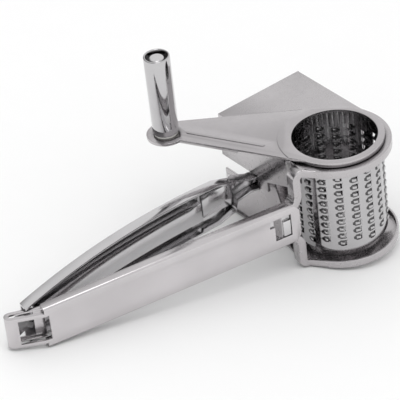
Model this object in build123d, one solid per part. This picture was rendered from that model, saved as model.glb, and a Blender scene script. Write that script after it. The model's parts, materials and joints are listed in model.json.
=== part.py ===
from build123d import *
from math import acos, asin, atan2, cos, degrees, hypot, radians, sin, sqrt
import os

os.makedirs("parts", exist_ok=True)

# A hand-cranked rotary grater, all pressed stainless steel.
# Building frame: Z is the drum's axis, z = 0 the underside of the lower cheek,
# X runs from the handle's tail (-X) towards the drum, +Y towards the hopper's mouth.

# --- sheet and clearances -------------------------------------------------------
SHEET = 0.9             # thickness of the pressed body sheet
DRUM_SHEET = 0.6        # thickness of the grating sheet
RUNNING = 0.08          # radial clearance of a turning fit
SEAT = 0.05             # radial clearance of a fixed fit
PASS = 0.35             # clearance of parts that rest on or pass each other

# --- cheeks ---------------------------------------------------------------------
BODY_HEIGHT = 55.5      # over both cheeks
RING_RADIUS = 26.5      # outer edge of a cheek round the drum
LIP_HEIGHT = 3.8        # turned edge round a cheek
LIP_END_ANGLE = 4.0     # where the turned edge stops, measured from the hopper's side
BOSS_RADIUS = 18.4      # outside of the lower cheek's upturned collar
BOSS_HEIGHT = 10.5      # top of that collar

# --- drum -----------------------------------------------------------------------
DRUM_RADIUS = 21.8      # outside of the grating sheet
DRUM_FOOT = 6.8         # lower edge of the drum above the base
RIM_HEIGHT = 4.6        # bearing ring inside the drum's lower edge
COLLAR_SHEET = 0.7      # sleeve that joins the drum to the crank
COLLAR_DEPTH = 3.3      # how far that sleeve reaches below the upper cheek's face
TOOTH_HEIGHT = 0.9      # room for the teeth that stand out of the sheet

# --- crank ----------------------------------------------------------------------
CRANK_RISE = 2.7        # top of the crank's raised hub above the cheeks
CRANK_SHEET = 1.0
HUB_STEP = 0.4          # hub pad above the arm
HUB_RADIUS = 26.8       # edge of the hub pad on the arm
EYE_RADIUS = 20.25      # mouth of the drum
CRANK_RIM = 23.4        # outer edge of the crank's ring
CRANK_REACH = 80.0      # drum axis to knob axis
CRANK_ANGLE = 141.0     # direction of the arm from +X
END_RADIUS = 9.3        # round end that carries the knob
ARM_BACK = 8.9          # half widths of the arm beside the knob
ARM_FRONT = 4.6
EDGE_LENGTH = 33.0      # turned-down edge of the arm
RIB_LENGTH = 40.0       # pressed rib on the arm
RIB_WIDTH = 2.0

# --- knob -----------------------------------------------------------------------
KNOB_RADIUS = 6.25
KNOB_HEIGHT = 42.0
KNOB_WALL = 1.0
PIN_RADIUS = 2.4
BUSH_LENGTH = 6.0
KNOB_RECESS = 2.6       # top bush below the sleeve's edge
RIVET_RADIUS = 3.9

# --- frame handle ---------------------------------------------------------------
HANDLE_FACE = 12.25     # web's outer face from the drum's axis
HANDLE_HEIGHT = 22.0    # over the flanges
HANDLE_FLANGE = 3.8     # flange width over the web
STRIP_WIDTH = 5.8       # cheek strips inside the channel, from the web's outer face
WEB_END = 28.7          # web's drum end from the drum's axis
WEB_CHAMFER = 4.2
HANDLE_TAIL = 162.0     # where the flanges stop at the tail
NOSE_REACH = 178.3      # end of the rounded tail
NOSE_HEIGHT = 16.4
NOSE_RADIUS = 3.0       # outer bend of the tail
NOSE_TURN = 20.0        # slope of the tail's front wall
NOSE_RETURN = 16.0      # slope of the leaf that comes back
NOSE_LEAF = 159.5       # end of that leaf
NOSE_LIP = 2.0          # narrow flange round the tail's edges
WINDOW_HEIGHT = 13.0    # windows in the tail's front wall and leaf
WINDOW_START = 159.8
WINDOW_END = 173.5
LEAF_WINDOW = 164.5     # handle end of the leaf's window
RISER_PLACE = 30.6      # upright part of the cheek's arm, from the drum's axis
RISER_BEND = 3.6        # outer bend radius of the arm
ARM_INNER = 3.0         # the arm's inner edge from the drum's axis

# --- cut-out and lock tab -------------------------------------------------------
SLOT_START = 42.2
SLOT_END = 33.4
SLOT_DROP = 5.35        # below and above the middle of the web
SLOT_RISE = 6.45

# --- hopper ---------------------------------------------------------------------
HOPPER_WIDTH = 49.6     # outside
HOPPER_DEPTH = 56.5     # drum axis to mouth
HOPPER_TURN = 9.0       # turned from the handle
WALL_START = 3.0        # drum end of the upper back wall
NECK_SLOT = 8.5         # height of the slot for the lever's neck
NECK_STOP = 30.2        # inner end of that slot from the drum's axis
LAP_START = 22.8        # overlap of the two back walls
LAP_DEPTH = 5.6
EAR_START = 17.0        # drum end of the lower back wall
SIDE_FLANGE = 6.0       # flanges of the side wall under the plates

# --- press lever ----------------------------------------------------------------
HOOK_RADIUS = 1.9       # rolled end of the tongue, turning inside the nose
LEVER_TAIL = (-162.0, 2.5)
LEVER_MID = (-98.0, 20.8)
LEVER_HEAD = (-53.0, 27.7)
LEVER_HALF = 12.0       # half height at the middle
LEVER_TAIL_HALF = 9.6
LEVER_FLANGE = 5.6
RIDGE_DEPTH = 3.6
RIDGE_HALF = 5.2
TONGUE_HALF = 5.5
RIDGE_END = 62.0        # head end of the ridge from the drum's axis
LEVER_TIP = 44.0        # head end of the lever's own sheet
TIP_HALF = 8.4          # half height there
NECK_START = 60.0       # where the neck's root begins inside the lever's head
NECK_ROOT = 6.0         # half height of that root
NECK_HALF = 3.9         # half height of the neck in its slot
NECK_WIDTH = 5.7        # width of the neck along the slot
NECK_SHOULDER = 40.3    # where the neck turns towards the slot
NECK_SWELL = 4.8        # how far its back swings out there
NECK_TAPER = 33.0       # where the neck has its slot height
EAR_RISE = 10.85        # tip of the neck's small upturned ear above the middle
PUSHER_SIDE = 0.6       # beside the pusher, to the side wall's flanges
PUSHER_GAP = 0.7        # left at the drum's teeth when pressed home
PUSHER_PLAY = 1.2       # above and below the pusher

# --- worked out -----------------------------------------------------------------
MID = BODY_HEIGHT / 2
CRANK_TOP = BODY_HEIGHT + CRANK_RISE
COLLAR_FOOT = BODY_HEIGHT - COLLAR_DEPTH
SLOT_LOW = MID - SLOT_DROP
SLOT_HIGH = MID + SLOT_RISE
EAR_TOP = MID + EAR_RISE
PUSHER_HALF = HOPPER_WIDTH / 2 - SIDE_FLANGE - PUSHER_SIDE
THROUGH = 2 * HANDLE_FACE
HANDLE_LOW = MID - HANDLE_HEIGHT / 2
HANDLE_HIGH = MID + HANDLE_HEIGHT / 2
COLLAR_RADIUS = DRUM_RADIUS + SEAT + COLLAR_SHEET
ARM_TOP = CRANK_TOP - HUB_STEP
ARM_FOOT = ARM_TOP - CRANK_SHEET
RIM_FOOT = BODY_HEIGHT + PASS
TOOTH_TIP = DRUM_RADIUS + TOOTH_HEIGHT


def prism(points, low, high):
    """Upright prism over a plan outline."""
    return Pos(0, 0, low) * extrude(make_face(Polyline(*points, close=True)), high - low)


def disc(radius, low, high, inner=0.0):
    """Upright disc or ring about the drum's axis."""
    body = Pos(0, 0, low) * extrude(Circle(radius), high - low)
    if inner:
        body -= Pos(0, 0, low) * extrude(Circle(inner), high - low)
    return body


def box(low, high):
    """Box between two corners."""
    size = [b - a for a, b in zip(low, high)]
    return Pos(*low) * Box(*size, align=(Align.MIN,) * 3)


def in_hopper(shape):
    """Turn a shape from the hopper's own axes into the building frame."""
    return Rot(0, 0, HOPPER_TURN) * shape


def on_arm(shape):
    """Place a shape drawn along +X from the knob towards the drum."""
    knob = Pos(CRANK_REACH * cos(radians(CRANK_ANGLE)), CRANK_REACH * sin(radians(CRANK_ANGLE)), 0)
    return knob * Rot(0, 0, CRANK_ANGLE + 180) * shape


# --- frame handle ---------------------------------------------------------------
def nose_centre():
    """Axis of the tail's round end, which is also the lever's pivot."""
    slope = radians(NOSE_TURN)
    x = -NOSE_REACH + NOSE_RADIUS
    run = -HANDLE_TAIL - x + NOSE_RADIUS * sin(slope)
    return x, -HANDLE_FACE + run * sin(slope) / cos(slope) + NOSE_RADIUS * cos(slope)


def nose_region(inset, extra=0.0):
    """Plan of the tail's loop, drawn in by `inset`: front wall, round end, returning leaf."""
    x, y = nose_centre()
    radius = NOSE_RADIUS - inset
    front, back = radians(NOSE_TURN), radians(NOSE_RETURN)
    touch = (x - radius * sin(front), y - radius * cos(front))
    leave = (x + radius * sin(back), y + radius * cos(back))
    run = (-HANDLE_TAIL - x + NOSE_RADIUS * sin(front)) / cos(front) + extra
    leaf = (-NOSE_LEAF - leave[0]) / cos(back) + extra
    start = (touch[0] + run * cos(front), touch[1] - run * sin(front))
    end = (leave[0] + leaf * cos(back), leave[1] - leaf * sin(back))
    outline = Line(start, touch) + ThreePointArc(touch, (x - radius, y), leave) + Line(leave, end)
    return make_face(outline + Line(end, start))


def nose():
    """Rounded tail strip with narrow flanges round both edges."""
    low = MID - NOSE_HEIGHT / 2
    wall = nose_region(0) - nose_region(SHEET, 3)
    lip = nose_region(0) - nose_region(NOSE_LIP, 6)
    body = Pos(0, 0, low) * extrude(wall, NOSE_HEIGHT)
    for z in (low, low + NOSE_HEIGHT - SHEET):
        body += Pos(0, 0, z) * extrude(lip, SHEET)
    x, y = nose_centre()
    gate_low, gate_high = MID - WINDOW_HEIGHT / 2, MID + WINDOW_HEIGHT / 2
    return body - box((x - SHEET, y - SHEET, gate_low), (-LEAF_WINDOW, 0, gate_high))


def frame_handle():
    """Channel with chamfered drum end, lock slot and rounded tail with a window."""
    flange_edge = HANDLE_FLANGE - HANDLE_FACE
    outer = box((-HANDLE_TAIL, -HANDLE_FACE, HANDLE_LOW), (-WEB_END, flange_edge, HANDLE_HIGH))
    bends = outer.edges().filter_by(Axis.X).group_by(Axis.Y)[0]
    outer = fillet(bends, 1.5)
    inner = box(
        (-HANDLE_TAIL - 1, -HANDLE_FACE + SHEET, HANDLE_LOW + SHEET),
        (-WEB_END + 1, 0, HANDLE_HIGH - SHEET),
    )
    channel = outer - inner
    for z, side in ((HANDLE_LOW, 1), (HANDLE_HIGH, -1)):
        corner = Polyline(
            (-WEB_END - WEB_CHAMFER, z - side),
            (-WEB_END + 1, z - side),
            (-WEB_END + 1, z + side * (WEB_CHAMFER + 1)),
            close=True,
        )
        wedge = extrude(Plane.XZ * make_face(corner), 40, both=True)
        channel -= wedge
    upright = -RISER_PLACE - RISER_BEND
    for z in (HANDLE_LOW - 1, HANDLE_HIGH - SHEET):
        channel -= box((upright, SHEET - HANDLE_FACE, z), (0, 0, z + SHEET + 1))
    slot = box((-SLOT_START, -THROUGH, SLOT_LOW), (-SLOT_END, 0, SLOT_HIGH))
    ear = box((-SLOT_START - 2.6, -THROUGH, SLOT_HIGH - 4.0), (-SLOT_START, 0, SLOT_HIGH))
    window = box(
        (-WINDOW_END, -THROUGH, MID - WINDOW_HEIGHT / 2),
        (-WINDOW_START, -HANDLE_FACE + 5.7, MID + WINDOW_HEIGHT / 2),
    )
    return channel + nose() - slot - ear - window


# --- cheeks ---------------------------------------------------------------------
def arm_sheet(reach, low, high):
    """Joggled strip of one cheek, seen from the side: handle, riser, plate."""
    top = BODY_HEIGHT
    foot = HANDLE_HIGH - SHEET
    bend, inner = RISER_BEND, RISER_BEND - SHEET
    x = -RISER_PLACE
    profile = (
        Line((-HANDLE_TAIL + 1, foot), (x - inner, foot))
        + RadiusArc((x - inner, foot), (x, foot + inner), -inner)
        + Line((x, foot + inner), (x, top - bend))
        + RadiusArc((x, top - bend), (x + bend, top), bend)
        + Line((x + bend, top), (reach, top))
        + Line((reach, top), (reach, top - SHEET))
        + Line((reach, top - SHEET), (x + bend, top - SHEET))
        + RadiusArc((x + bend, top - SHEET), (x + SHEET, top - bend), -inner)
        + Line((x + SHEET, top - bend), (x + SHEET, foot - SHEET + bend))
        + RadiusArc((x + SHEET, foot - SHEET + bend), (x + SHEET - bend, foot - SHEET), bend)
        + Line((x + SHEET - bend, foot - SHEET), (-HANDLE_TAIL + 1, foot - SHEET))
        + Line((-HANDLE_TAIL + 1, foot - SHEET), (-HANDLE_TAIL + 1, foot))
    )
    face = Plane.XZ * make_face(profile)
    return Pos(0, high, 0) * extrude(face, high - low)


def cheek():
    """Upper cheek: drum ring, turned lip, hopper plate and joggled arm."""
    half = HOPPER_WIDTH / 2
    plate = disc(RING_RADIUS, BODY_HEIGHT - SHEET, BODY_HEIGHT)
    plate += in_hopper(box((-half, 0, BODY_HEIGHT - SHEET), (half, HOPPER_DEPTH, BODY_HEIGHT)))
    lip = disc(RING_RADIUS, BODY_HEIGHT - LIP_HEIGHT, BODY_HEIGHT, RING_RADIUS - SHEET)
    junction = degrees(asin(HANDLE_FACE / RING_RADIUS))
    keep = CenterArc((0, 0), 2 * RING_RADIUS, 180 + junction, 180 - junction + LIP_END_ANGLE)
    wedge = make_face(keep + Line(keep @ 1, (0, 0)) + Line((0, 0), keep @ 0))
    lip &= extrude(wedge, BODY_HEIGHT)
    strip = arm_sheet(-16, SHEET - HANDLE_FACE, STRIP_WIDTH - HANDLE_FACE)
    wide = arm_sheet(-16, STRIP_WIDTH - HANDLE_FACE, ARM_INNER - 6)
    wide &= box((-RISER_PLACE - 1, -20, 0), (0, 20, BODY_HEIGHT))
    band = arm_sheet(-16, -HANDLE_FACE, SHEET - HANDLE_FACE)
    band &= box((-WEB_END - 3.2, -20, HANDLE_HIGH + PASS), (0, 20, BODY_HEIGHT))
    return plate + lip + strip + wide + band


def hole(radius):
    """Cutter for a round hole through the cheeks."""
    return disc(radius, -1, BODY_HEIGHT + 1)


def upper_wall():
    """Back wall of the upper cheek, with its lap tab, in the hopper's axes."""
    half = HOPPER_WIDTH / 2
    edge = MID + NECK_SLOT / 2
    outline = (
        Line((WALL_START, BODY_HEIGHT), (HOPPER_DEPTH, BODY_HEIGHT))
        + Line((HOPPER_DEPTH, BODY_HEIGHT), (HOPPER_DEPTH, edge))
        + Line((HOPPER_DEPTH, edge), (NECK_STOP, edge))
        + Line((NECK_STOP, edge), (NECK_STOP, edge - LAP_DEPTH))
        + Line((NECK_STOP, edge - LAP_DEPTH), (LAP_START, edge - LAP_DEPTH))
        + Line((LAP_START, edge - LAP_DEPTH), (LAP_START, edge))
        + ThreePointArc((LAP_START, edge), (13.0, edge + 3.4), (WALL_START, edge + 6.6))
        + Line((WALL_START, edge + 6.6), (WALL_START, BODY_HEIGHT))
    )
    face = Plane.YZ * make_face(outline)
    return Pos(-half, 0, 0) * extrude(face, SHEET)


def lower_wall():
    """Back wall of the lower cheek, one sheet further in, with its ear."""
    half = HOPPER_WIDTH / 2
    edge = MID - NECK_SLOT / 2
    high = MID + NECK_SLOT / 2 + 1.2
    outline = (
        Line((EAR_START - 5, 0), (HOPPER_DEPTH, 0))
        + Line((HOPPER_DEPTH, 0), (HOPPER_DEPTH, edge))
        + Line((HOPPER_DEPTH, edge), (NECK_STOP, edge))
        + Line((NECK_STOP, edge), (NECK_STOP, high))
        + Line((NECK_STOP, high), (EAR_START + 2, high))
        + ThreePointArc((EAR_START + 2, high), (EAR_START - 1.4, edge + 1), (EAR_START - 5, 0))
    )
    face = Plane.YZ * make_face(outline)
    return Pos(-half + SHEET, 0, 0) * extrude(face, SHEET)


def upper_cheek():
    return cheek() + in_hopper(upper_wall()) - hole(COLLAR_RADIUS + RUNNING)


def lower_cheek():
    """Mirrored cheek with the lower wall and the collar that the drum turns on."""
    body = mirror(cheek(), about=Plane.XY.offset(MID))
    body = body + in_hopper(lower_wall())
    body -= hole(BOSS_RADIUS - SHEET)
    return body + disc(BOSS_RADIUS, 0, BOSS_HEIGHT, BOSS_RADIUS - SHEET)


def side_wall():
    """Closed hopper wall away from the handle, flanged under both plates."""
    half = HOPPER_WIDTH / 2
    flange = SIDE_FLANGE
    low, high = SHEET, BODY_HEIGHT - SHEET
    start = WALL_START + 6
    wall = box((half - flange, start, low), (half, HOPPER_DEPTH, high))
    wall -= box((half - flange - 1, start - 1, low + SHEET), (half - SHEET, HOPPER_DEPTH + 1, high - SHEET))
    wall -= disc(TOOTH_TIP + PASS, 0, BODY_HEIGHT)
    return in_hopper(wall)


def tie_plate():
    """Plate behind the web between the cheek strips, its tab folded through the slot."""
    low = HANDLE_LOW + 2 * SHEET
    high = HANDLE_HIGH - 2 * SHEET
    back = SHEET - HANDLE_FACE
    plate = box((-SLOT_START - 5, back, low), (-WEB_END - 0.6, back + SHEET, high))
    plate -= box((-SLOT_START, back - 1, SLOT_LOW), (-SLOT_END - 4.6, 0, SLOT_HIGH))
    tab = box(
        (-SLOT_END - 4.6, back - SHEET - 0.5, SLOT_LOW + 1.2),
        (-SLOT_END - PASS, back + SHEET, SLOT_HIGH - 2.6),
    )
    tab = fillet(tab.edges().filter_by(Axis.Z).group_by(Axis.Y)[0], 0.8)
    return plate + tab


# --- drum and crank -------------------------------------------------------------
def drum_sheet():
    """Rolled sheet of the grating drum."""
    return disc(DRUM_RADIUS, DRUM_FOOT, ARM_FOOT, DRUM_RADIUS - DRUM_SHEET)


def drum_rim():
    """Bearing ring inside the drum's foot, turning on the lower cheek's collar."""
    outer = DRUM_RADIUS - DRUM_SHEET - SEAT
    ring = disc(outer, DRUM_FOOT, DRUM_FOOT + RIM_HEIGHT, outer - SHEET)
    return ring + disc(outer, DRUM_FOOT, DRUM_FOOT + SHEET, BOSS_RADIUS + RUNNING)


def drum_collar():
    """Sleeve under the crank's ring that grips the drum and turns in the upper cheek."""
    return disc(COLLAR_RADIUS, COLLAR_FOOT, ARM_FOOT, DRUM_RADIUS + SEAT)


def arm_outline():
    """Plan of the arm in its own axes: x from the knob to the drum."""
    ring = CRANK_RIM
    reach = CRANK_REACH
    back = asin((ring - ARM_BACK) / reach)
    front = asin((ring - ARM_FRONT) / reach)
    hub_back = (reach - ring * sin(back), ring * cos(back))
    hub_front = (reach - ring * sin(front), -ring * cos(front))
    points = [(0, ARM_BACK), hub_back, (reach, 0), hub_front, (4.0, -ARM_FRONT), (0, -ARM_FRONT)]
    arm = make_face(Polyline(*points, close=True))
    return arm + Circle(END_RADIUS) + Pos(reach, 0) * Circle(ring), hub_front


def crank_plate():
    """Pressed crank: ring, tapering arm with rib and turned edge, round end."""
    outline, hub_front = arm_outline()
    body = Pos(0, 0, ARM_FOOT) * extrude(outline, CRANK_SHEET)
    pad = outline & (Pos(CRANK_REACH, 0) * Circle(HUB_RADIUS))
    body += Pos(0, 0, ARM_FOOT) * extrude(pad, CRANK_SHEET + HUB_STEP)
    rim = Circle(CRANK_RIM) - Circle(COLLAR_RADIUS + SEAT)
    body += Pos(CRANK_REACH, 0, RIM_FOOT) * extrude(rim, ARM_FOOT - RIM_FOOT)
    lip = Circle(END_RADIUS) - Circle(END_RADIUS - SHEET)
    body += Pos(0, 0, ARM_FOOT - 0.5) * extrude(lip, 0.5)
    slope = degrees(atan2(hub_front[1] + ARM_FRONT, hub_front[0] - 4.0))
    edge = box((0, 0, RIM_FOOT), (EDGE_LENGTH, SHEET, ARM_FOOT))
    body += Pos(4.0, -ARM_FRONT, 0) * Rot(0, 0, slope) * edge
    rib = Pos(0, 0, ARM_TOP) * extrude(SlotOverall(RIB_LENGTH, RIB_WIDTH), HUB_STEP)
    body += Pos(9.0 + RIB_LENGTH / 2, -4.4, 0) * Rot(0, 0, slope) * rib
    body -= Pos(CRANK_REACH, 0, 0) * disc(EYE_RADIUS, 0, CRANK_TOP + 1)
    body -= disc(PIN_RADIUS + SEAT, 0, CRANK_TOP + 1)
    return on_arm(body)


# --- knob -----------------------------------------------------------------------
KNOB_FOOT = ARM_TOP + 1.4
KNOB_TOP = KNOB_FOOT + KNOB_HEIGHT


def knob_sleeve():
    """Polished tube of the knob."""
    tube = disc(KNOB_RADIUS, KNOB_FOOT, KNOB_TOP, KNOB_RADIUS - KNOB_WALL)
    return on_arm(chamfer(tube.edges().filter_by(GeomType.CIRCLE).group_by(Axis.Z)[-1], 0.3))


def knob_bush(low):
    """Plain bearing bush pressed into one end of the sleeve."""
    return on_arm(disc(KNOB_RADIUS - KNOB_WALL - SEAT, low, low + BUSH_LENGTH, PIN_RADIUS + RUNNING))


def knob_washer():
    """Thin washer between the knob and the arm."""
    return on_arm(disc(KNOB_RADIUS - 0.6, ARM_TOP, KNOB_FOOT - PASS, PIN_RADIUS + SEAT))


def knob_pin():
    """Rivet pin of the knob: domed head in the recess, closed under the arm."""
    shoulder = KNOB_TOP - KNOB_RECESS + PASS
    pin = disc(PIN_RADIUS, ARM_FOOT - 1.2, shoulder)
    head = disc(RIVET_RADIUS, shoulder, shoulder + 1.4)
    head = fillet(head.edges().filter_by(GeomType.CIRCLE).group_by(Axis.Z)[-1], 1.2)
    foot = disc(RIVET_RADIUS, ARM_FOOT - 1.2, ARM_FOOT)
    return on_arm(pin + head + foot)


# --- press lever ----------------------------------------------------------------
def circle_through(a, b, c):
    """Centre and radius of the circle through three plan points."""
    d = 2 * (a[0] * (b[1] - c[1]) + b[0] * (c[1] - a[1]) + c[0] * (a[1] - b[1]))
    squares = [p[0] ** 2 + p[1] ** 2 for p in (a, b, c)]
    x = (squares[0] * (b[1] - c[1]) + squares[1] * (c[1] - a[1]) + squares[2] * (a[1] - b[1])) / d
    y = (squares[0] * (c[0] - b[0]) + squares[1] * (a[0] - c[0]) + squares[2] * (b[0] - a[0])) / d
    return (x, y), hypot(a[0] - x, a[1] - y)


BOW_CENTRE, BOW_RADIUS = circle_through(LEVER_TAIL, LEVER_MID, LEVER_HEAD)


def bowed(depth, thick, half):
    """Upright shell along the lever's bow, its outer face `depth` inside the back."""
    band = Circle(BOW_RADIUS - depth) - Circle(BOW_RADIUS - depth - thick)
    return Pos(BOW_CENTRE[0], BOW_CENTRE[1], MID - half) * extrude(band, 2 * half)


def bow_y(x, depth=0.0):
    """Plan position of the lever's bow at a distance along the handle."""
    return BOW_CENTRE[1] + sqrt((BOW_RADIUS - depth) ** 2 - (x - BOW_CENTRE[0]) ** 2)


def lever_side(inset):
    """Side view of the lever: deepest in the middle, narrower at both ends."""
    tail = (LEVER_TAIL[0] - 6, MID + LEVER_TAIL_HALF - inset)
    mid = (LEVER_MID[0], MID + LEVER_HALF - inset)
    head = (LEVER_HEAD[0], MID + LEVER_HALF - 0.8 - inset)
    tip = (-LEVER_TIP, MID + TIP_HALF - inset)
    flip = [(p[0], 2 * MID - p[1]) for p in (tail, mid, head, tip)]
    outline = (
        ThreePointArc(tail, mid, head)
        + Line(head, tip)
        + Line(tip, flip[3])
        + Line(flip[3], flip[2])
        + ThreePointArc(flip[2], flip[1], flip[0])
        + Line(flip[0], tail)
    )
    return extrude(Plane.XZ * make_face(outline), 100, both=True)


def press_lever():
    """Bowed channel with a pressed centre ridge and a hooked tongue at the tail."""
    body = bowed(0, LEVER_FLANGE, 2 * LEVER_HALF) & lever_side(0)
    body -= bowed(SHEET, LEVER_FLANGE, 2 * LEVER_HALF) & lever_side(SHEET)
    span = box((LEVER_TAIL[0], -100, 0), (-RIDGE_END, 100, BODY_HEIGHT))
    ridge = bowed(0, RIDGE_DEPTH + SHEET, RIDGE_HALF) & span
    hollow = bowed(-1, 1 + RIDGE_DEPTH, RIDGE_HALF - SHEET) & span
    return body + ridge - hollow + tongue()


def tongue():
    """Flat tongue from the lever's tail to the rolled hook in the nose."""
    x, y = nose_centre()
    start = LEVER_TAIL[0] - 5.6
    across = bow_y(start, SHEET / 2) - y
    run = hypot(start - x, across)
    turn = degrees(atan2(across, start - x))
    flat = box((0, -SHEET / 2, MID - TONGUE_HALF), (run, SHEET / 2, MID + TONGUE_HALF))
    flat -= Pos(0, 0, MID) * Cylinder(HOOK_RADIUS - SHEET, 4 * TONGUE_HALF)
    roll = disc(HOOK_RADIUS, MID - TONGUE_HALF, MID + TONGUE_HALF, HOOK_RADIUS - SHEET)
    return Pos(x, y, 0) * Rot(0, 0, turn) * (flat + roll)


def pusher_plate():
    """Curved pressing plate that follows the drum, closed by a flat back."""
    radius = TOOTH_TIP + PUSHER_GAP
    low = SHEET + PUSHER_PLAY
    high = BODY_HEIGHT - low
    back = NECK_STOP + PASS
    solid = box((-PUSHER_HALF, 0, low), (PUSHER_HALF, back, high)) - disc(radius, low - 1, high + 1)
    inner = box((SHEET - PUSHER_HALF, 0, low - 1), (PUSHER_HALF - SHEET, back - SHEET, high + 1))
    inner -= disc(radius + SHEET, low - 2, high + 2)
    return in_hopper(solid - inner)


def neck_plan(inset):
    """Plan of the neck from the lever's tip to the pusher, drawn in by `inset` at its back."""
    turn = radians(HOPPER_TURN)
    near = NECK_STOP + PASS
    far = near + NECK_WIDTH - inset
    start, end = -HOPPER_WIDTH / 2, PUSHER_HALF / 2
    back = bow_y(-LEVER_TIP, SHEET)
    slot = [(start, far), (end, far), (end, near), (start, near)]
    slot = [(u * cos(turn) - v * sin(turn), u * sin(turn) + v * cos(turn)) for u, v in slot]
    shoulder = (-NECK_SHOULDER, back + NECK_SWELL - inset)
    chest = (-NECK_SHOULDER, back - SHEET)
    return [(-LEVER_TIP, back - inset), shoulder, *slot, chest, (-LEVER_TIP, back - NECK_WIDTH)]


def neck_side(inset):
    """Side view of the neck: tapering from the lever's tip to its slot height."""
    root, slim = TIP_HALF - SHEET - inset, NECK_HALF - inset
    above = [(-LEVER_TIP, MID + root), (-NECK_TAPER, MID + slim), (RING_RADIUS, MID + slim)]
    below = [(x, 2 * MID - z) for x, z in reversed(above)]
    return extrude(Plane.XZ * make_face(Polyline(*above, *below, close=True)), 100, both=True)


def lever_neck():
    """Channel welded into the lever's head, reaching through the slot to the pusher."""
    body = prism(neck_plan(0), 0, BODY_HEIGHT) & neck_side(0)
    body -= prism(neck_plan(SHEET), 0, BODY_HEIGHT) & neck_side(SHEET)
    span = box((-NECK_START, -100, 0), (-LEVER_TIP, 100, BODY_HEIGHT))
    root = bowed(SHEET, SHEET, NECK_ROOT) & span
    corner, shoulder = neck_plan(0)[:2]
    strip = [corner, shoulder, (shoulder[0], shoulder[1] - SHEET), (corner[0], corner[1] - SHEET)]
    tip = [(-LEVER_TIP, EAR_TOP), (-LEVER_TIP + SHEET, EAR_TOP)]
    flap = make_face(Polyline((-LEVER_TIP, MID), *tip, (-NECK_SHOULDER, MID), close=True))
    ear = prism(strip, MID, EAR_TOP) & extrude(Plane.XZ * flap, 100, both=True)
    return body + root + ear


# --- assembly -------------------------------------------------------------------
NODES = {
    "frame_handle": frame_handle,
    "upper_cheek": upper_cheek,
    "lower_cheek": lower_cheek,
    "hopper_side_wall": side_wall,
    "tie_plate": tie_plate,
    "drum_sheet": drum_sheet,
    "drum_rim": drum_rim,
    "drum_collar": drum_collar,
    "crank_plate": crank_plate,
    "knob_sleeve": knob_sleeve,
    "knob_top_bush": lambda: knob_bush(KNOB_TOP - KNOB_RECESS - BUSH_LENGTH),
    "knob_bottom_bush": lambda: knob_bush(KNOB_FOOT),
    "knob_washer": knob_washer,
    "knob_pin": knob_pin,
    "press_lever": press_lever,
    "pusher_plate": pusher_plate,
    "lever_neck": lever_neck,
}

def rest_points():
    """The three points that the grater lies on: hopper corner, ring and tail flange."""
    turn = radians(HOPPER_TURN)
    u, v = -HOPPER_WIDTH / 2, HOPPER_DEPTH
    corner = (u * cos(turn) - v * sin(turn), u * sin(turn) + v * cos(turn))
    around = atan2(corner[1], corner[0]) + acos(RING_RADIUS / hypot(*corner))
    ring = (RING_RADIUS * cos(around), RING_RADIUS * sin(around), 0)
    return (*corner, 0), ring, (-HANDLE_TAIL, -HANDLE_FACE, HANDLE_LOW)


def settle(shapes):
    """Lay the assembly down on its tail and set the origin under its middle."""
    corner, ring, tail = (Vector(*point) for point in rest_points())
    hinge = Axis(corner, ring - corner)
    side = (tail - corner).cross(ring - corner).normalized()
    lean = degrees(acos(abs(side.Z)))
    turned = [shape.rotate(hinge, lean) for shape in shapes]
    bounds = Compound(turned).bounding_box()
    middle = bounds.center()
    return [Pos(-middle.X, -middle.Y, -bounds.min.Z) * shape for shape in turned]


if __name__ == "__main__":
    bodies = settle([make() for make in NODES.values()])
    for name, body in zip(NODES, bodies):
        export_step(body, f"parts/{name}.step")
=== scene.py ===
import json
from math import acos, atan2, cos, pi, radians, sin

import bmesh
import bpy
from bpy.props import FloatProperty, FloatVectorProperty, IntProperty, PointerProperty
from mathutils import Matrix, Vector


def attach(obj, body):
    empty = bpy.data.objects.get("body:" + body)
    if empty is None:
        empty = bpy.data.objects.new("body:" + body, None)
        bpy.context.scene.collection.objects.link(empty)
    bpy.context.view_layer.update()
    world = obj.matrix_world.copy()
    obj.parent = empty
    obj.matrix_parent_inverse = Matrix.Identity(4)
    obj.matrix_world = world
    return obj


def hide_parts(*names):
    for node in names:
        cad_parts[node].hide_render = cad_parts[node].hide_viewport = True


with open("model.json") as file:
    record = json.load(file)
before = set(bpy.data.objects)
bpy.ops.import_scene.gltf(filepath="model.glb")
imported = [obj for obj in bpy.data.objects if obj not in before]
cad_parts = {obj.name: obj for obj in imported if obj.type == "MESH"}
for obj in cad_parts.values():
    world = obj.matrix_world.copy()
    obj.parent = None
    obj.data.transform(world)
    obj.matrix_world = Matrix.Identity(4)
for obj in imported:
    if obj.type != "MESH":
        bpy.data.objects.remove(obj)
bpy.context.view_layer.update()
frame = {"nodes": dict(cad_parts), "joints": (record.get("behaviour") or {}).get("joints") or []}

bl_info = {
    "name": "Rotary drum grater",
    "version": (1, 0, 0),
    "blender": (4, 5, 0),
    "location": "View3D > Sidebar > Grater",
    "description": "Dresses a pressed steel rotary grater and its studio",
    "category": "Object",
}

MM = 0.001

# Sizes from here on are millimetres in the drum's own axes, where nothing else is said.
CRANK_ANGLE = 141.0     # the arm's direction about the drum, from the handle's line
BODY_HEIGHT = 55.5      # over both cheeks
TINY = 0.001            # corners closer than this are one corner
NEAR = 0.05             # this close counts as on an edge

# --- places taken from the frame --------------------------------------------------
JOINTS = {joint["name"]: joint for joint in frame["joints"]}


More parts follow.
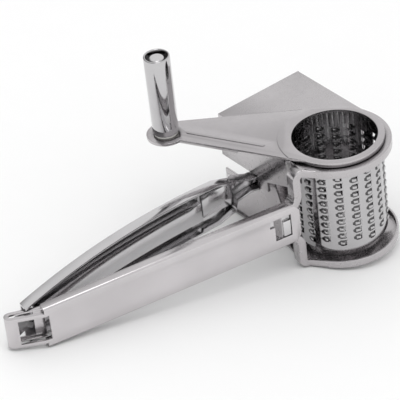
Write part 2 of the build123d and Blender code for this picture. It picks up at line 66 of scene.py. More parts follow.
def drum_frame():
    """Matrix from the drum's own axes (drum axis up, millimetres) to the frame."""
    crank, knob = JOINTS["crank_turn"], JOINTS["knob_spin"]
    up = Vector(crank["axis"]).normalized()
    middle = Vector(crank["pos_m"])
    arm = Vector(knob["pos_m"]) - middle
    arm = (arm - up * arm.dot(up)).normalized()
    along = Matrix.Rotation(radians(-CRANK_ANGLE), 3, up) @ arm
    across = up.cross(along)
    foot = middle - up * BODY_HEIGHT * MM / 2
    turn = Matrix((along, across, up)).transposed().to_4x4()
    return Matrix.Translation(foot) @ turn @ Matrix.Scale(MM, 4)


DRUM_FRAME = drum_frame()


# --- sizes and finishes a user would change ----------------------------------------
class GraterSizes(bpy.types.PropertyGroup):
    rounding: FloatProperty(
        name="Edge rounding",
        description="Width of the rounding on cut sheet edges",
        default=0.16,
        min=0.0,
        max=0.4,
    )
    tooth_height: FloatProperty(
        name="Tooth height",
        description="How far a grating tooth stands out of the drum",
        default=0.95,
        min=0.3,
        max=1.4,
    )
    tooth_columns: IntProperty(
        name="Tooth columns",
        description="Columns of teeth round the drum",
        default=18,
        min=6,
        max=30,
    )
    tooth_rows: IntProperty(
        name="Tooth rows",
        description="Teeth in a long column",
        default=10,
        min=2,
        max=11,
    )


class SteelFinish(bpy.types.PropertyGroup):
    sheet_colour: FloatVectorProperty(
        name="Sheet colour",
        description="Colour of the polished stainless sheet",
        subtype="COLOR",
        size=4,
        default=(0.53, 0.51, 0.52, 1.0),
    )
    sheet_roughness: FloatProperty(
        name="Sheet roughness",
        description="How far the sheet blurs its reflections",
        default=0.24,
        min=0.02,
        max=1.0,
    )
    bright_colour: FloatVectorProperty(
        name="Bright colour",
        description="Colour of the mirror polished pieces",
        subtype="COLOR",
        size=4,
        default=(0.66, 0.65, 0.66, 1.0),
    )
    bright_roughness: FloatProperty(
        name="Bright roughness",
        description="How far the mirror polish blurs its reflections",
        default=0.10,
        min=0.01,
        max=1.0,
    )
    nylon_colour: FloatVectorProperty(
        name="Nylon colour",
        description="Colour of the knob's bushes",
        subtype="COLOR",
        size=4,
        default=(0.62, 0.61, 0.58, 1.0),
    )


class StudioSetup(bpy.types.PropertyGroup):
    camera_turn: FloatProperty(
        name="Camera turn",
        description="Direction of the camera about the vertical",
        subtype="ANGLE",
        default=radians(-29.27),
    )
    camera_pitch: FloatProperty(
        name="Camera pitch",
        description="Tilt of the camera from straight down",
        subtype="ANGLE",
        default=radians(58.18),
    )
    camera_place: FloatVectorProperty(
        name="Camera place",
        description="Where the camera stands",
        subtype="TRANSLATION",
        unit="LENGTH",
        default=(-0.5680, -1.0283, 0.7664),
    )
    lens: FloatProperty(
        name="Lens",
        description="Focal length on a 36 mm wide sensor",
        unit="CAMERA",
        default=268.5,
    )
    floor_colour: FloatVectorProperty(
        name="Floor colour",
        description="Colour of the paper floor",
        subtype="COLOR",
        size=4,
        default=(0.93, 0.93, 0.93, 1.0),
    )


# --- selection and edit-mode helpers ------------------------------------------------
def deselect_all():
    if bpy.context.mode != "OBJECT":
        bpy.ops.object.mode_set(mode="OBJECT")
    bpy.ops.object.select_all(action="DESELECT")


def make_active(piece):
    deselect_all()
    piece.select_set(True)
    bpy.context.view_layer.objects.active = piece


def start_edit(piece, pick="DESELECT"):
    make_active(piece)
    bpy.ops.object.mode_set(mode="EDIT")
    bpy.ops.mesh.select_mode(type="VERT")
    bpy.ops.mesh.select_all(action=pick)


def pick_vertices(piece, test):
    """Select the vertices of the mesh in edit mode whose place passes the test."""
    mesh = bmesh.from_edit_mesh(piece.data)
    for vertex in mesh.verts:
        vertex.select_set(test(vertex.co))
    mesh.select_flush_mode()
    bmesh.update_edit_mesh(piece.data)


def pick_faces(piece, test):
    """Select the faces of the mesh in edit mode whose middle passes the test."""
    bpy.ops.mesh.select_mode(type="FACE")
    mesh = bmesh.from_edit_mesh(piece.data)
    for face in mesh.faces:
        face.select_set(test(face.calc_center_median()))
    bmesh.update_edit_mesh(piece.data)


def apply_modifier(piece, kind, **settings):
    make_active(piece)
    modifier = piece.modifiers.new(kind.title(), kind)
    for name, value in settings.items():
        setattr(modifier, name, value)
    bpy.ops.object.modifier_apply(modifier=modifier.name)


def place_in_frame(piece):
    """Carry a piece drawn in the drum's axes, in millimetres, into the frame."""
    make_active(piece)
    piece.matrix_world = DRUM_FRAME @ piece.matrix_world
    bpy.ops.object.transform_apply(location=True, rotation=True, scale=True)


def finish_piece(piece, body, node, material=None, angle=35.0):
    """Shade a piece, give it a material unless its faces have theirs, and register it."""
    make_active(piece)
    bpy.ops.object.shade_smooth_by_angle(angle=radians(angle))
    if material:
        piece.data.materials.clear()
        piece.data.materials.append(material)
    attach(piece, body)
    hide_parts(node)
    deselect_all()


MERGE_GAP = 0.000002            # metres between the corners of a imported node's loose triangles
FLAT_ANGLE = radians(0.4)       # faces this close to level are one face
SHARP_ANGLE = radians(40)       # an edge this sharp gets the rounding


def rounded_copy(node, name, rounding):
    """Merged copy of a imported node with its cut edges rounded."""
    source = frame["nodes"][node]
    make_active(source)
    bpy.ops.object.duplicate()
    piece = bpy.context.view_layer.objects.active
    piece.parent = None
    for key in list(piece.keys()):
        if key.startswith("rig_"):
            del piece[key]
    piece.name = name
    piece.data.name = name
    start_edit(piece, "SELECT")
    bpy.ops.mesh.remove_doubles(threshold=MERGE_GAP)
    bpy.ops.mesh.dissolve_limited(angle_limit=FLAT_ANGLE)
    bpy.ops.object.mode_set(mode="OBJECT")
    round_edges(piece, rounding)
    return piece


def round_edges(piece, rounding):
    """Bevel the sharp edges of a piece that stands in the frame."""
    if rounding > 0:
        apply_modifier(
            piece,
            "BEVEL",
            width=rounding * MM,
            segments=2,
            limit_method="ANGLE",
            angle_limit=SHARP_ANGLE,
            use_clamp_overlap=True,
        )


# --- materials -----------------------------------------------------------------------
NOISE_RANGE = (0.3, 0.7)
CLOUD_SCALE = 55.0              # noise scales count waves per metre
CLOUD_TINT = (0.94, 1.03)       # darkest and lightest cloud, as shares of the colour
MARK_SCALE = 420.0
MARK_POLISH = (0.85, 1.2)       # smoothest and roughest mark, as shares of the roughness
MARK_RELIEF = 0.02
MARK_DEPTH = 0.00005            # metres
CORNER_SHADE_RANGE = (0.35, 0.85)     # openness where the painted corner shade is darkest, and where it ends
NYLON_SCALE = 300.0
NYLON_POLISH = (0.4, 0.55)


def new_material(name):
    material = bpy.data.materials.new(name)
    material.use_nodes = True
    tree = material.node_tree
    tree.nodes.clear()
    shader = tree.nodes.new("ShaderNodeBsdfPrincipled")
    output = tree.nodes.new("ShaderNodeOutputMaterial")
    tree.links.new(shader.outputs["BSDF"], output.inputs["Surface"])
    return material, tree, shader


def noise_on_object(tree, scale, stretch=(1, 1, 1), detail=3.0):
    """Noise over the piece's own place, stretched along an axis."""
    place = tree.nodes.new("ShaderNodeTexCoord")
    mapping = tree.nodes.new("ShaderNodeMapping")
    mapping.inputs["Scale"].default_value = stretch
    noise = tree.nodes.new("ShaderNodeTexNoise")
    noise.inputs["Scale"].default_value = scale
    noise.inputs["Detail"].default_value = detail
    tree.links.new(place.outputs["Object"], mapping.inputs["Vector"])
    tree.links.new(mapping.outputs["Vector"], noise.inputs["Vector"])
    return noise


def ranged(tree, source, low, high):
    """Remap a noise, which stays mostly in its middle range, between two values."""
    node = tree.nodes.new("ShaderNodeMapRange")
    node.inputs["From Min"].default_value, node.inputs["From Max"].default_value = NOISE_RANGE
    node.inputs["To Min"].default_value = low
    node.inputs["To Max"].default_value = high
    tree.links.new(source, node.inputs["Value"])
    return node.outputs["Result"]


def scaled(colour, share):
    """Opaque colour, darkened or lightened by a share."""
    return [min(1.0, share * value) for value in colour[:3]] + [1.0]


def steel(name, colour, roughness, brush=(1, 1, 1), reach=0.003, dark=0.35):
    """Stainless steel: cloudy tint, uneven polish, fine rolling marks and painted shade in
    corners.

    The painted shade darkens a corner down to `dark`, where other metal stands within `reach`
    metres.
    """
    material, tree, shader = new_material(name)
    shader.inputs["Metallic"].default_value = 1.0
    clouds = noise_on_object(tree, CLOUD_SCALE)
    tint = tree.nodes.new("ShaderNodeMixRGB")
    tint.inputs["Color1"].default_value = scaled(colour, CLOUD_TINT[0])
    tint.inputs["Color2"].default_value = scaled(colour, CLOUD_TINT[1])
    tree.links.new(ranged(tree, clouds.outputs["Fac"], 0.0, 1.0), tint.inputs["Fac"])
    # Painted shade: an ambient occlusion node darkens the colour in corners where other metal
    # stands near.
    corner_shade_occlusion = tree.nodes.new("ShaderNodeAmbientOcclusion")
    corner_shade_occlusion.inputs["Distance"].default_value = reach
    corners = tree.nodes.new("ShaderNodeMapRange")
    corners.inputs["From Min"].default_value, corners.inputs["From Max"].default_value = (
        CORNER_SHADE_RANGE
    )
    corners.inputs["To Min"].default_value = dark
    shade = tree.nodes.new("ShaderNodeVectorMath")
    shade.operation = "SCALE"
    tree.links.new(corner_shade_occlusion.outputs["AO"], corners.inputs["Value"])
    tree.links.new(corners.outputs["Result"], shade.inputs["Scale"])
    tree.links.new(tint.outputs["Color"], shade.inputs[0])
    tree.links.new(shade.outputs["Vector"], shader.inputs["Base Color"])
    marks = noise_on_object(tree, MARK_SCALE, brush, detail=4.0)
    smooth, rough = (share * roughness for share in MARK_POLISH)
    polish = ranged(tree, marks.outputs["Fac"], smooth, rough)
    tree.links.new(polish, shader.inputs["Roughness"])
    bump = tree.nodes.new("ShaderNodeBump")
    bump.inputs["Strength"].default_value = MARK_RELIEF
    bump.inputs["Distance"].default_value = MARK_DEPTH
    tree.links.new(marks.outputs["Fac"], bump.inputs["Height"])
    tree.links.new(bump.outputs["Normal"], shader.inputs["Normal"])
    return material


def nylon(name, colour):
    """Natural nylon with a mottled matt skin."""
    material, tree, shader = new_material(name)
    clouds = noise_on_object(tree, NYLON_SCALE)
    tint = tree.nodes.new("ShaderNodeMixRGB")
    tint.inputs["Color1"].default_value = scaled(colour, 0.9)
    tint.inputs["Color2"].default_value = list(colour)
    tree.links.new(clouds.outputs["Fac"], tint.inputs["Fac"])
    tree.links.new(tint.outputs["Color"], shader.inputs["Base Color"])
    polish = ranged(tree, clouds.outputs["Fac"], *NYLON_POLISH)
    tree.links.new(polish, shader.inputs["Roughness"])
    return material


def finish_named(name):
    """The material of that name, made the first time that it is asked for."""
    found = bpy.data.materials.get(name)
    if found:
        return found
    finish = bpy.context.scene.grater_finish
    sheet, rough = finish.sheet_colour, finish.sheet_roughness
    bright, mirror = finish.bright_colour, finish.bright_roughness
    makers = {
        "body_sheet": lambda: steel(name, sheet, rough),
        "handle_sheet": lambda: steel(name, scaled(sheet, 1.16), rough * 0.9, (0.15, 1, 1)),
        "lever_sheet": lambda: steel(name, bright, mirror * 1.2),
        # The drum's steel paints its corner shade almost black, which draws dark outlines round
        # the teeth.
        "drum_sheet": lambda: steel(name, scaled(bright, 0.8), mirror, reach=0.0016, dark=0.03),
        # Painted dark reflection: a much darker steel given to the teeth's flanks.
        "tooth_flank_painted_reflection": lambda: steel(name, scaled(bright, 0.16), mirror * 2),
        "crank_sheet": lambda: steel(name, sheet, rough * 0.9),
        "knob_polish": lambda: steel(name, scaled(bright, 0.84), mirror * 0.6),
        "rivet_steel": lambda: steel(name, bright, mirror * 1.4),
        "nylon": lambda: nylon(name, finish.nylon_colour),
    }
    return makers[name]()


# --- pieces ---------------------------------------------------------------------------
COPIES = {
    # piece: (node, body, slot, material)
    "cheek_upper": ("upper_cheek", "frame", "body_steel", "body_sheet"),
    "cheek_lower": ("lower_cheek", "frame", "body_steel", "body_sheet"),
    "hopper_wall": ("hopper_side_wall", "frame", "body_steel", "body_sheet"),
    "lock_plate": ("tie_plate", "frame", "body_steel", "lever_sheet"),
    "handle_channel": ("frame_handle", "frame", "handle_steel", "handle_sheet"),
    "crank_pressing": ("crank_plate", "crank", "body_steel", "crank_sheet"),
    "drum_sleeve": ("drum_collar", "crank", "drum_steel", "drum_sheet"),
    "drum_bearing": ("drum_rim", "crank", "drum_steel", "drum_sheet"),
    "knob_rivet": ("knob_pin", "crank", "pin_steel", "rivet_steel"),
    "knob_spacer": ("knob_washer", "crank", "bush_nylon", "nylon"),
    "knob_tube": ("knob_sleeve", "knob", "knob_steel", "knob_polish"),
    "knob_plug": ("knob_top_bush", "knob", "bush_nylon", "rivet_steel"),
    "knob_foot_bush": ("knob_bottom_bush", "knob", "bush_nylon", "nylon"),
    "lever_pressing": ("press_lever", "lever", "handle_steel", "lever_sheet"),
    "neck_channel": ("lever_neck", "lever", "handle_steel", "lever_sheet"),
    "pusher": ("pusher_plate", "lever", "body_steel", "body_sheet"),
}


def dress_copy(name, rounding):
    """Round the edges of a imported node's copy and give it its finish."""
    node, body, slot, material = COPIES[name]
    piece = rounded_copy(node, name, rounding)
    finish_piece(piece, body, node, finish_named(material))


# --- cheeks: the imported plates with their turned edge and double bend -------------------
SHEET = 0.9
RING_RADIUS = 26.5
HANDLE_FACE = 12.2      # the turned edge lies just behind the handle's face
HANDLE_TOP = 37.85      # outer face of the arm inside the handle
RISER = 30.6            # outer face of the upright part
BEND = 5.0              # outer radius of the arm's bends
ARM_WIDTH = 5.8
EDGE_WIDTH = 3.8
EDGE_BEND = 1.1         # rounding between the ring and its turned edge
EDGE_BEND_END = 1.8     # that rounding ends here, on the hopper's side
ARM_BEND = 0.8 * SHEET  # the same along the arm
BEND_STEPS = 8
RING_LAP = (1.5, -0.9)  # how far the arm's end runs on over the ring
ARM_START = 34.4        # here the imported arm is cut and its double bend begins
ARM_SIDE = -2.0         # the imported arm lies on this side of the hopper's back wall
BEYOND = 5.0            # past the cheek's outline


def into_drum(piece):
    """Carry a piece from the frame into the drum's axes, in millimetres."""
    make_active(piece)
    piece.matrix_world = DRUM_FRAME.inverted() @ piece.matrix_world
    bpy.ops.object.transform_apply(location=True, rotation=True, scale=True)


def draw_out(step):
    bpy.ops.mesh.extrude_region_move(TRANSFORM_OT_translate={"value": step})


def double_bend():
    """Arm of the upper cheek with its turned edge, from inside the handle to the ring."""
    deselect_all()
    corner = (SHEET / 2 - RISER, SHEET / 2 - HANDLE_FACE, BODY_HEIGHT - 2 * BEND)
    bpy.ops.mesh.primitive_plane_add(size=SHEET, location=corner)
    arm = bpy.context.object
    bpy.ops.object.transform_apply(location=True, rotation=True, scale=True)
    start_edit(arm)
    pick_vertices(arm, lambda c: c.y > corner[1])
    draw_out((0, ARM_WIDTH - SHEET, 0))
    pick_vertices(arm, lambda c: c.x > corner[0] and c.y < corner[1] + SHEET)
    draw_out((EDGE_WIDTH - SHEET, 0, 0))
    pick_vertices(arm, lambda c: c.x < corner[0] and c.y < corner[1])
    bpy.ops.mesh.bevel(offset=ARM_BEND, segments=4, affect="VERTICES")
    bpy.ops.mesh.select_all(action="SELECT")
    top = BODY_HEIGHT - BEND
    draw_out((0, 0, top - corner[2]))
    bpy.ops.mesh.spin(
        steps=BEND_STEPS, angle=pi / 2, center=(BEND - RISER, 0, top), axis=(0, -1, 0)
    )
    meet = ring_touch()
    draw_out((meet.x - (BEND - RISER), meet.y + HANDLE_FACE, 0))
    draw_out((*RING_LAP, 0))
    pick_vertices(arm, lambda c: abs(c.z - corner[2]) < NEAR)
    foot = HANDLE_TOP + BEND - SHEET
    draw_out((0, 0, foot - corner[2]))
    bpy.ops.mesh.spin(
        steps=BEND_STEPS, angle=pi / 2, center=(SHEET - BEND - RISER, 0, foot), axis=(0, -1, 0)
    )
    bpy.ops.mesh.select_all(action="SELECT")
    bpy.ops.mesh.remove_doubles(threshold=TINY)
    bpy.ops.mesh.normals_make_consistent(inside=False)
    bpy.ops.object.mode_set(mode="OBJECT")
    return arm


def ring_touch():
    """Where the straight edge from the arm's bend meets the ring."""
    corner = Vector((BEND - RISER, -HANDLE_FACE))
    around = atan2(corner.y, corner.x) + acos(RING_RADIUS / corner.length)
    return Vector((cos(around), sin(around))) * RING_RADIUS


def cut_away(piece, low, high):
    """Take a block between two corners out of a piece."""
    deselect_all()
    middle = (Vector(low) + Vector(high)) / 2
    bpy.ops.mesh.primitive_cube_add(size=1.0, location=middle)
    block = bpy.context.object
    block.scale = Vector(high) - Vector(low)
    bpy.ops.object.transform_apply(location=True, rotation=True, scale=True)
    apply_modifier(piece, "BOOLEAN", operation="DIFFERENCE", solver="EXACT", object=block)
    bpy.data.objects.remove(block)


def turn_over(piece):
    """Mirror a piece between the cheeks."""
    make_active(piece)
    mirror = Matrix.Translation((0, 0, BODY_HEIGHT)) @ Matrix.Scale(-1, 4, (0, 0, 1))
    piece.matrix_world = mirror @ piece.matrix_world
    bpy.ops.object.transform_apply(location=True, rotation=True, scale=True)
    start_edit(piece, "SELECT")
    bpy.ops.mesh.normals_make_consistent(inside=False)
    bpy.ops.object.mode_set(mode="OBJECT")


def dress_cheek(name, rounding, lower):
    """Imported cheek with its ring edge rounded and its arm bent like the pressing."""
    node, body, slot, material = COPIES[name]
    plate = rounded_copy(node, name, 0)
    into_drum(plate)
    if lower:
        turn_over(plate)
    low = (-ARM_START, -4 * BEYOND, -BEYOND)
    cut_away(plate, low, (BEND - RISER, ARM_SIDE, BODY_HEIGHT + BEYOND))
    start_edit(plate)
    pick_vertices(
        plate,
        lambda c: c.y < EDGE_BEND_END
        and c.xy.length > RING_RADIUS - NEAR
        and c.z > BODY_HEIGHT - NEAR,
    )
    bpy.ops.mesh.bevel(offset=EDGE_BEND, segments=4, affect="EDGES", clamp_overlap=True)
    bpy.ops.object.mode_set(mode="OBJECT")
    bend = double_bend()
    make_active(plate)
    bend.select_set(True)
    bpy.ops.object.join()
    if lower:
        turn_over(plate)
    place_in_frame(plate)
    round_edges(plate, rounding)
    finish_piece(plate, body, node, finish_named(material))


class GRATER_OT_frame(bpy.types.Operator):
    """Bend the cheeks' arms and round the edges of the frame's sheets"""

    bl_idname = "grater.frame"
    bl_label = "Frame sheets"

    def execute(self, context):
        rounding = context.scene.grater_sizes.rounding
        dress_cheek("cheek_upper", rounding, False)
        dress_cheek("cheek_lower", rounding, True)
        for name in ("hopper_wall", "lock_plate", "handle_channel"):
            dress_copy(name, rounding)
        return {"FINISHED"}


class GRATER_OT_crank(bpy.types.Operator):
    """Make the crank's pressing and the rings that carry the drum"""

    bl_idname = "grater.crank"
    bl_label = "Crank"

    def execute(self, context):
        rounding = context.scene.grater_sizes.rounding
        for name in ("crank_pressing", "drum_sleeve", "drum_bearing"):
            dress_copy(name, rounding)
        return {"FINISHED"}


class GRATER_OT_knob(bpy.types.Operator):
    """Make the knob: tube, plug, bushes, spacer and rivet"""

    bl_idname = "grater.knob"
    bl_label = "Knob"

    def execute(self, context):
        rounding = context.scene.grater_sizes.rounding
        for name in ("knob_tube", "knob_plug", "knob_foot_bush", "knob_spacer", "knob_rivet"):
            dress_copy(name, rounding)
        return {"FINISHED"}


class GRATER_OT_lever(bpy.types.Operator):
    """Make the press lever with its neck and pusher"""

    bl_idname = "grater.lever"
    bl_label = "Press lever"

    def execute(self, context):
        rounding = context.scene.grater_sizes.rounding
        for name in ("lever_pressing", "neck_channel", "pusher"):
            dress_copy(name, rounding)
        return {"FINISHED"}


# --- grating drum -----------------------------------------------------------------------
DRUM_RADIUS = 21.8      # outside of the sheet
DRUM_SHEET = 0.6
DRUM_FOOT = 6.8
DRUM_TOP = 56.8
FIRST_COLUMN = 122.5    # direction of a long column, in degrees from the handle's line
TOOTH_PITCH = 4.1       # from one tooth to the next in a column
FIRST_TOOTH = 4.4       # lowest tooth above the drum's lower edge
ROLL_MERGE = 0.01       # closes the seam where the roll meets itself

# A tooth is shaped on a grid, in steps along the sheet from its open end and in rows to
# both sides of its middle line.
CELL_STEPS, CELL_ROWS = 12, 6
HALF_ROWS = 2
GAP_STEPS = 3           # faces taken out in front of the open end
GAP_CLOSING = 1.5       # steps by which the far side of that gap is drawn back
HOOD_STEPS = 5          # length of the hood behind the open end
CROWN_STEPS = 3         # the hood's flanks get a painted dark reflection, its crown doesn't
SIDE_MIDDLE, SIDE_REACH = -1.0, 2.5     # the stretch of the hood's sides that is spread
SIDE_SPREAD = 0.3
HOOD_RISE = (1.0, 0.95, 0.75, 0.42, 0.12)   # share of the height at each step back
ROW_RISE = ((1.5, 0.68), (0.5, 0.32))       # rows lifted together, and their share of it
# Corners of the outline that are drawn in: grid step, move along the sheet in steps, and
# share of the way to the middle line.
TOOTH_CORNERS = ((-5, 1.3, 0.42), (-4, 0.3, 0.16), (2, -0.3, 0.3))
ON_LINE = 0.1           # a corner this near a grid line lies on it


def shift(value):
    bpy.ops.transform.translate(value=value)


def open_gap(cell, step, row):
    """Take out the faces of the gap and paint a dark reflection on the hood's flanks with a
    darker steel.
    """
    half = HALF_ROWS * row
    pick_faces(cell, lambda c: 0 < c.x < GAP_STEPS * step and abs(c.z) < half)
    bpy.ops.mesh.delete(type="FACE")
    pick_faces(
        cell,
        lambda c: -HOOD_STEPS * step < c.x < 0
        and abs(c.z) < half
        and (abs(c.z) > row or c.x < -CROWN_STEPS * step),
    )
    for name in ("drum_sheet", "tooth_flank_painted_reflection"):
        cell.data.materials.append(finish_named(name))
    cell.active_material_index = 1
    bpy.ops.object.material_slot_assign()


def tooth_cell(width, height):
    """Flat patch of sheet with one nose-shaped tooth, open on its right side."""
    deselect_all()
    bpy.ops.mesh.primitive_grid_add(
        x_subdivisions=CELL_STEPS, y_subdivisions=CELL_ROWS, size=1.0, rotation=(pi / 2, 0, 0)
    )
    cell = bpy.context.object
    cell.scale = (width, TOOTH_PITCH, 1)
    bpy.ops.object.transform_apply(location=True, rotation=True, scale=True)
    step, row = width / CELL_STEPS, TOOTH_PITCH / CELL_ROWS
    edges = (-HALF_ROWS * row, HALF_ROWS * row)
    start_edit(cell)
    open_gap(cell, step, row)
    bpy.ops.mesh.select_mode(type="VERT")

    def pick_grid(x, z):
        pick_vertices(cell, lambda c: abs(c.x - x) < ON_LINE and abs(c.z - z) < ON_LINE)

    def pick_line(x, half):
        pick_vertices(cell, lambda c: abs(c.x - x) < ON_LINE and abs(c.z) < half)

    for side, edge in zip((-1, 1), edges):
        pick_vertices(
            cell,
            lambda c, z=edge: abs(c.z - z) < ON_LINE
            and abs(c.x - SIDE_MIDDLE * step) < SIDE_REACH * step,
        )
        shift((0, 0, side * SIDE_SPREAD * row))
    for back, share in enumerate(HOOD_RISE):
        for reach, part in ROW_RISE:
            pick_line(-back * step, reach * row)
            shift((0, -height * share * part, 0))
    pick_line(GAP_STEPS * step, (HALF_ROWS + 0.5) * row)
    shift((-GAP_CLOSING * step, 0, 0))
    for place, along, inward in TOOTH_CORNERS:
        for edge in edges:
            pick_grid(place * step, edge)
            shift((along * step, 0, -inward * edge))
    bpy.ops.object.mode_set(mode="OBJECT")
    return cell


def tooth_column(cell, name, rows, foot, top):
    """Stack a cell into a column and draw its ends out to the drum's edges."""
    make_active(cell)
    bpy.ops.object.duplicate()
    column = bpy.context.object
    column.name = name
    apply_modifier(
        column,
        "ARRAY",
        count=rows,
        use_relative_offset=False,
        use_constant_offset=True,
        constant_offset_displace=(0, 0, TOOTH_PITCH),
        use_merge_vertices=True,
        merge_threshold=TINY,
    )
    low, high = -TOOTH_PITCH / 2, (rows - 0.5) * TOOTH_PITCH
    for edge, goal in ((low, -foot), (high, top - foot)):
        start_edit(column)
        pick_vertices(column, lambda c, edge=edge: abs(c.z - edge) < TINY)
        draw_out((0, 0, goal - edge))
        bpy.ops.object.mode_set(mode="OBJECT")
    column.location.z = foot
    return column


def grating_drum(sizes):
    """Rolled grating sheet: flat columns of teeth, arrayed, rolled up and thickened."""
    height = DRUM_TOP - DRUM_FOOT
    girth = 2 * pi * DRUM_RADIUS
    pitch = girth / sizes.tooth_columns
    cell = tooth_cell(pitch, sizes.tooth_height)
    long = tooth_column(cell, "grating_drum", sizes.tooth_rows, FIRST_TOOTH, height)
    short_foot = FIRST_TOOTH + TOOTH_PITCH / 2
    short = tooth_column(cell, "short_column", sizes.tooth_rows - 1, short_foot, height)
    short.location.x = pitch
    bpy.data.objects.remove(cell)
    make_active(long)
    short.select_set(True)
    bpy.ops.object.join()
    drum = bpy.context.object
    drum.location.x = (pitch - girth) / 2
    bpy.ops.object.transform_apply(location=True, rotation=True, scale=True)
    apply_modifier(
        drum,
        "ARRAY",
        count=sizes.tooth_columns // 2,
        use_relative_offset=False,
        use_constant_offset=True,
        constant_offset_displace=(2 * pitch, 0, 0),
        use_merge_vertices=True,
        merge_threshold=TINY,
    )
    apply_modifier(drum, "SIMPLE_DEFORM", deform_method="BEND", deform_axis="Z", angle=2 * pi)
    start_edit(drum, "SELECT")
    bpy.ops.mesh.remove_doubles(threshold=ROLL_MERGE)
    bpy.ops.object.mode_set(mode="OBJECT")
    apply_modifier(drum, "SOLIDIFY", thickness=DRUM_SHEET, offset=-1.0)
    # The roll closes at its back, and its first column stands half a pitch past that seam.
    turn = radians(FIRST_COLUMN) - (pi / 2 + pi / sizes.tooth_columns)
    to_axis = Matrix.Translation((0, -DRUM_RADIUS, DRUM_FOOT))
    drum.matrix_world = Matrix.Rotation(turn, 4, "Z") @ to_axis
    place_in_frame(drum)
    return drum


class GRATER_OT_drum(bpy.types.Operator):
    """Make the grating drum with its columns of open teeth"""

    bl_idname = "grater.drum"
    bl_label = "Grating drum"

    def execute(self, context):
        drum = grating_drum(context.scene.grater_sizes)
        finish_piece(drum, "crank", "drum_sheet", angle=50.0)
        return {"FINISHED"}


# --- studio ----------------------------------------------------------------------------
TENT_DARK = (0.06, 0.06, 0.065, 1)      # the tent's open side, past the handle's tail
# Share of the way round the tent from that side, and the wall's brightness there.
TENT_WALL = ((0.10, 0.10), (0.15, 0.92), (0.70, 0.92), (0.77, 0.08))
TENT_ROOF = (0.85, 0.85, 0.85, 1)
ROOF_HEIGHT = (0.35, 0.75)      # rise of a ray where the wall ends and where the roof is full
FLOOR_SIZE = 6.0                # metres, like the lamp's place and size
LAMP_PLACE, LAMP_SIZE, LAMP_POWER = (-0.3, -0.3, 1.6), 0.7, 3.0


def light_tent():
    """World: plain white, but reflections see a tent with a roof and a dark open side."""
    world = bpy.data.worlds.new("light_tent")
    bpy.context.scene.world = world
    world.use_nodes = True
    tree = world.node_tree
    tree.nodes.clear()
    place = tree.nodes.new("ShaderNodeTexCoord")
    axes = tree.nodes.new("ShaderNodeSeparateXYZ")
    around = tree.nodes.new("ShaderNodeMath")
    around.operation = "ARCTAN2"
    turn = tree.nodes.new("ShaderNodeMapRange")
    turn.inputs["From Min"].default_value = -pi
    turn.inputs["From Max"].default_value = pi
    opening = tree.nodes.new("ShaderNodeValToRGB")
    stops = opening.color_ramp.elements
    for stop in stops:
        stop.color = TENT_DARK
    for position, level in TENT_WALL:
        stops.new(position).color = (level, level, level, 1)
    height = tree.nodes.new("ShaderNodeMapRange")
    height.inputs["From Min"].default_value, height.inputs["From Max"].default_value = (
        ROOF_HEIGHT
    )
    roof = tree.nodes.new("ShaderNodeMixRGB")
    roof.inputs["Color2"].default_value = TENT_ROOF
    tent = tree.nodes.new("ShaderNodeBackground")
    white = tree.nodes.new("ShaderNodeBackground")
    white.inputs["Color"].default_value = (1, 1, 1, 1)
    rays = tree.nodes.new("ShaderNodeLightPath")
    mix = tree.nodes.new("ShaderNodeMixShader")
    output = tree.nodes.new("ShaderNodeOutputWorld")
    link = tree.links.new
    link(place.outputs["Generated"], axes.inputs["Vector"])
    link(axes.outputs["Y"], around.inputs[0])
    link(axes.outputs["X"], around.inputs[1])
    link(around.outputs["Value"], turn.inputs["Value"])
    link(turn.outputs["Result"], opening.inputs["Fac"])
    link(axes.outputs["Z"], height.inputs["Value"])
    link(height.outputs["Result"], roof.inputs["Fac"])
    link(opening.outputs["Color"], roof.inputs["Color1"])
    link(roof.outputs["Color"], tent.inputs["Color"])
    link(rays.outputs["Is Glossy Ray"], mix.inputs["Fac"])
    link(white.outputs["Background"], mix.inputs[1])
    link(tent.outputs["Background"], mix.inputs[2])
    link(mix.outputs["Shader"], output.inputs["Surface"])


def soft_lamp(name, place, size, power):
    """Square area lamp aimed at the grater."""
    light = bpy.data.lights.new(name, "AREA")
    light.shape = "SQUARE"
    light.size = size
    light.energy = power
    lamp = bpy.data.objects.new(name, light)
    bpy.context.scene.collection.objects.link(lamp)
    lamp.location = place
    lamp.rotation_euler = (-Vector(place)).to_track_quat("-Z", "Y").to_euler()


def paper_floor(colour):
    """Pale paper under the grater, with a faint grain."""
    deselect_all()
    bpy.ops.mesh.primitive_plane_add(size=FLOOR_SIZE, location=(0, 0, 0))
    floor = bpy.context.object
    floor.name = "paper_floor"
    material, tree, shader = new_material("paper")
    grain = noise_on_object(tree, 40.0)
    tint = tree.nodes.new("ShaderNodeMixRGB")
    tint.inputs["Color1"].default_value = scaled(colour, 0.985)
    tint.inputs["Color2"].default_value = list(colour)
    tree.links.new(grain.outputs["Fac"], tint.inputs["Fac"])
    tree.links.new(tint.outputs["Color"], shader.inputs["Base Color"])
    shader.inputs["Roughness"].default_value = 0.9
    floor.data.materials.append(material)


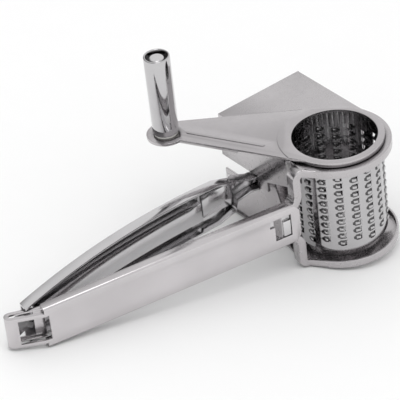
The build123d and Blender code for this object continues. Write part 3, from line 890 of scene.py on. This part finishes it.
def photo_camera(studio):
    """Camera at the photograph's place, with its long lens."""
    camera = bpy.data.objects.new("photo_camera", bpy.data.cameras.new("photo_camera"))
    bpy.context.scene.collection.objects.link(camera)
    camera.data.sensor_width = 36.0
    camera.data.lens = studio.lens
    camera.data.clip_end = 20.0
    camera.location = studio.camera_place
    camera.rotation_euler = (studio.camera_pitch, 0, studio.camera_turn)
    bpy.context.scene.camera = camera


class GRATER_OT_studio(bpy.types.Operator):
    """Set up the paper floor, the light tent, the lamp and the camera"""

    bl_idname = "grater.studio"
    bl_label = "Studio"

    def execute(self, context):
        studio = context.scene.grater_studio
        paper_floor(studio.floor_colour)
        light_tent()
        soft_lamp("key_lamp", LAMP_PLACE, LAMP_SIZE, LAMP_POWER)
        photo_camera(studio)
        context.scene.view_settings.view_transform = "Standard"
        return {"FINISHED"}


class GRATER_PT_panel(bpy.types.Panel):
    """Sidebar list of the grater's build steps"""

    bl_idname = "GRATER_PT_panel"
    bl_label = "Rotary grater"
    bl_space_type = "VIEW_3D"
    bl_region_type = "UI"
    bl_category = "Grater"

    def draw(self, context):
        layout = self.layout
        for step in STEPS:
            layout.operator(step.bl_idname)


STEPS = (
    GRATER_OT_frame,
    GRATER_OT_drum,
    GRATER_OT_crank,
    GRATER_OT_knob,
    GRATER_OT_lever,
    GRATER_OT_studio,
)
GROUPS = (GraterSizes, SteelFinish, StudioSetup)


def register():
    for cls in (*GROUPS, *STEPS, GRATER_PT_panel):
        bpy.utils.register_class(cls)
    bpy.types.Scene.grater_sizes = PointerProperty(type=GraterSizes)
    bpy.types.Scene.grater_finish = PointerProperty(type=SteelFinish)
    bpy.types.Scene.grater_studio = PointerProperty(type=StudioSetup)


def unregister():
    del bpy.types.Scene.grater_studio
    del bpy.types.Scene.grater_finish
    del bpy.types.Scene.grater_sizes
    for cls in reversed((*GROUPS, *STEPS, GRATER_PT_panel)):
        bpy.utils.unregister_class(cls)


def main():
    register()
    for step in STEPS:
        group, name = step.bl_idname.split(".")
        getattr(getattr(bpy.ops, group), name)()


if __name__ == "__main__":
    main()
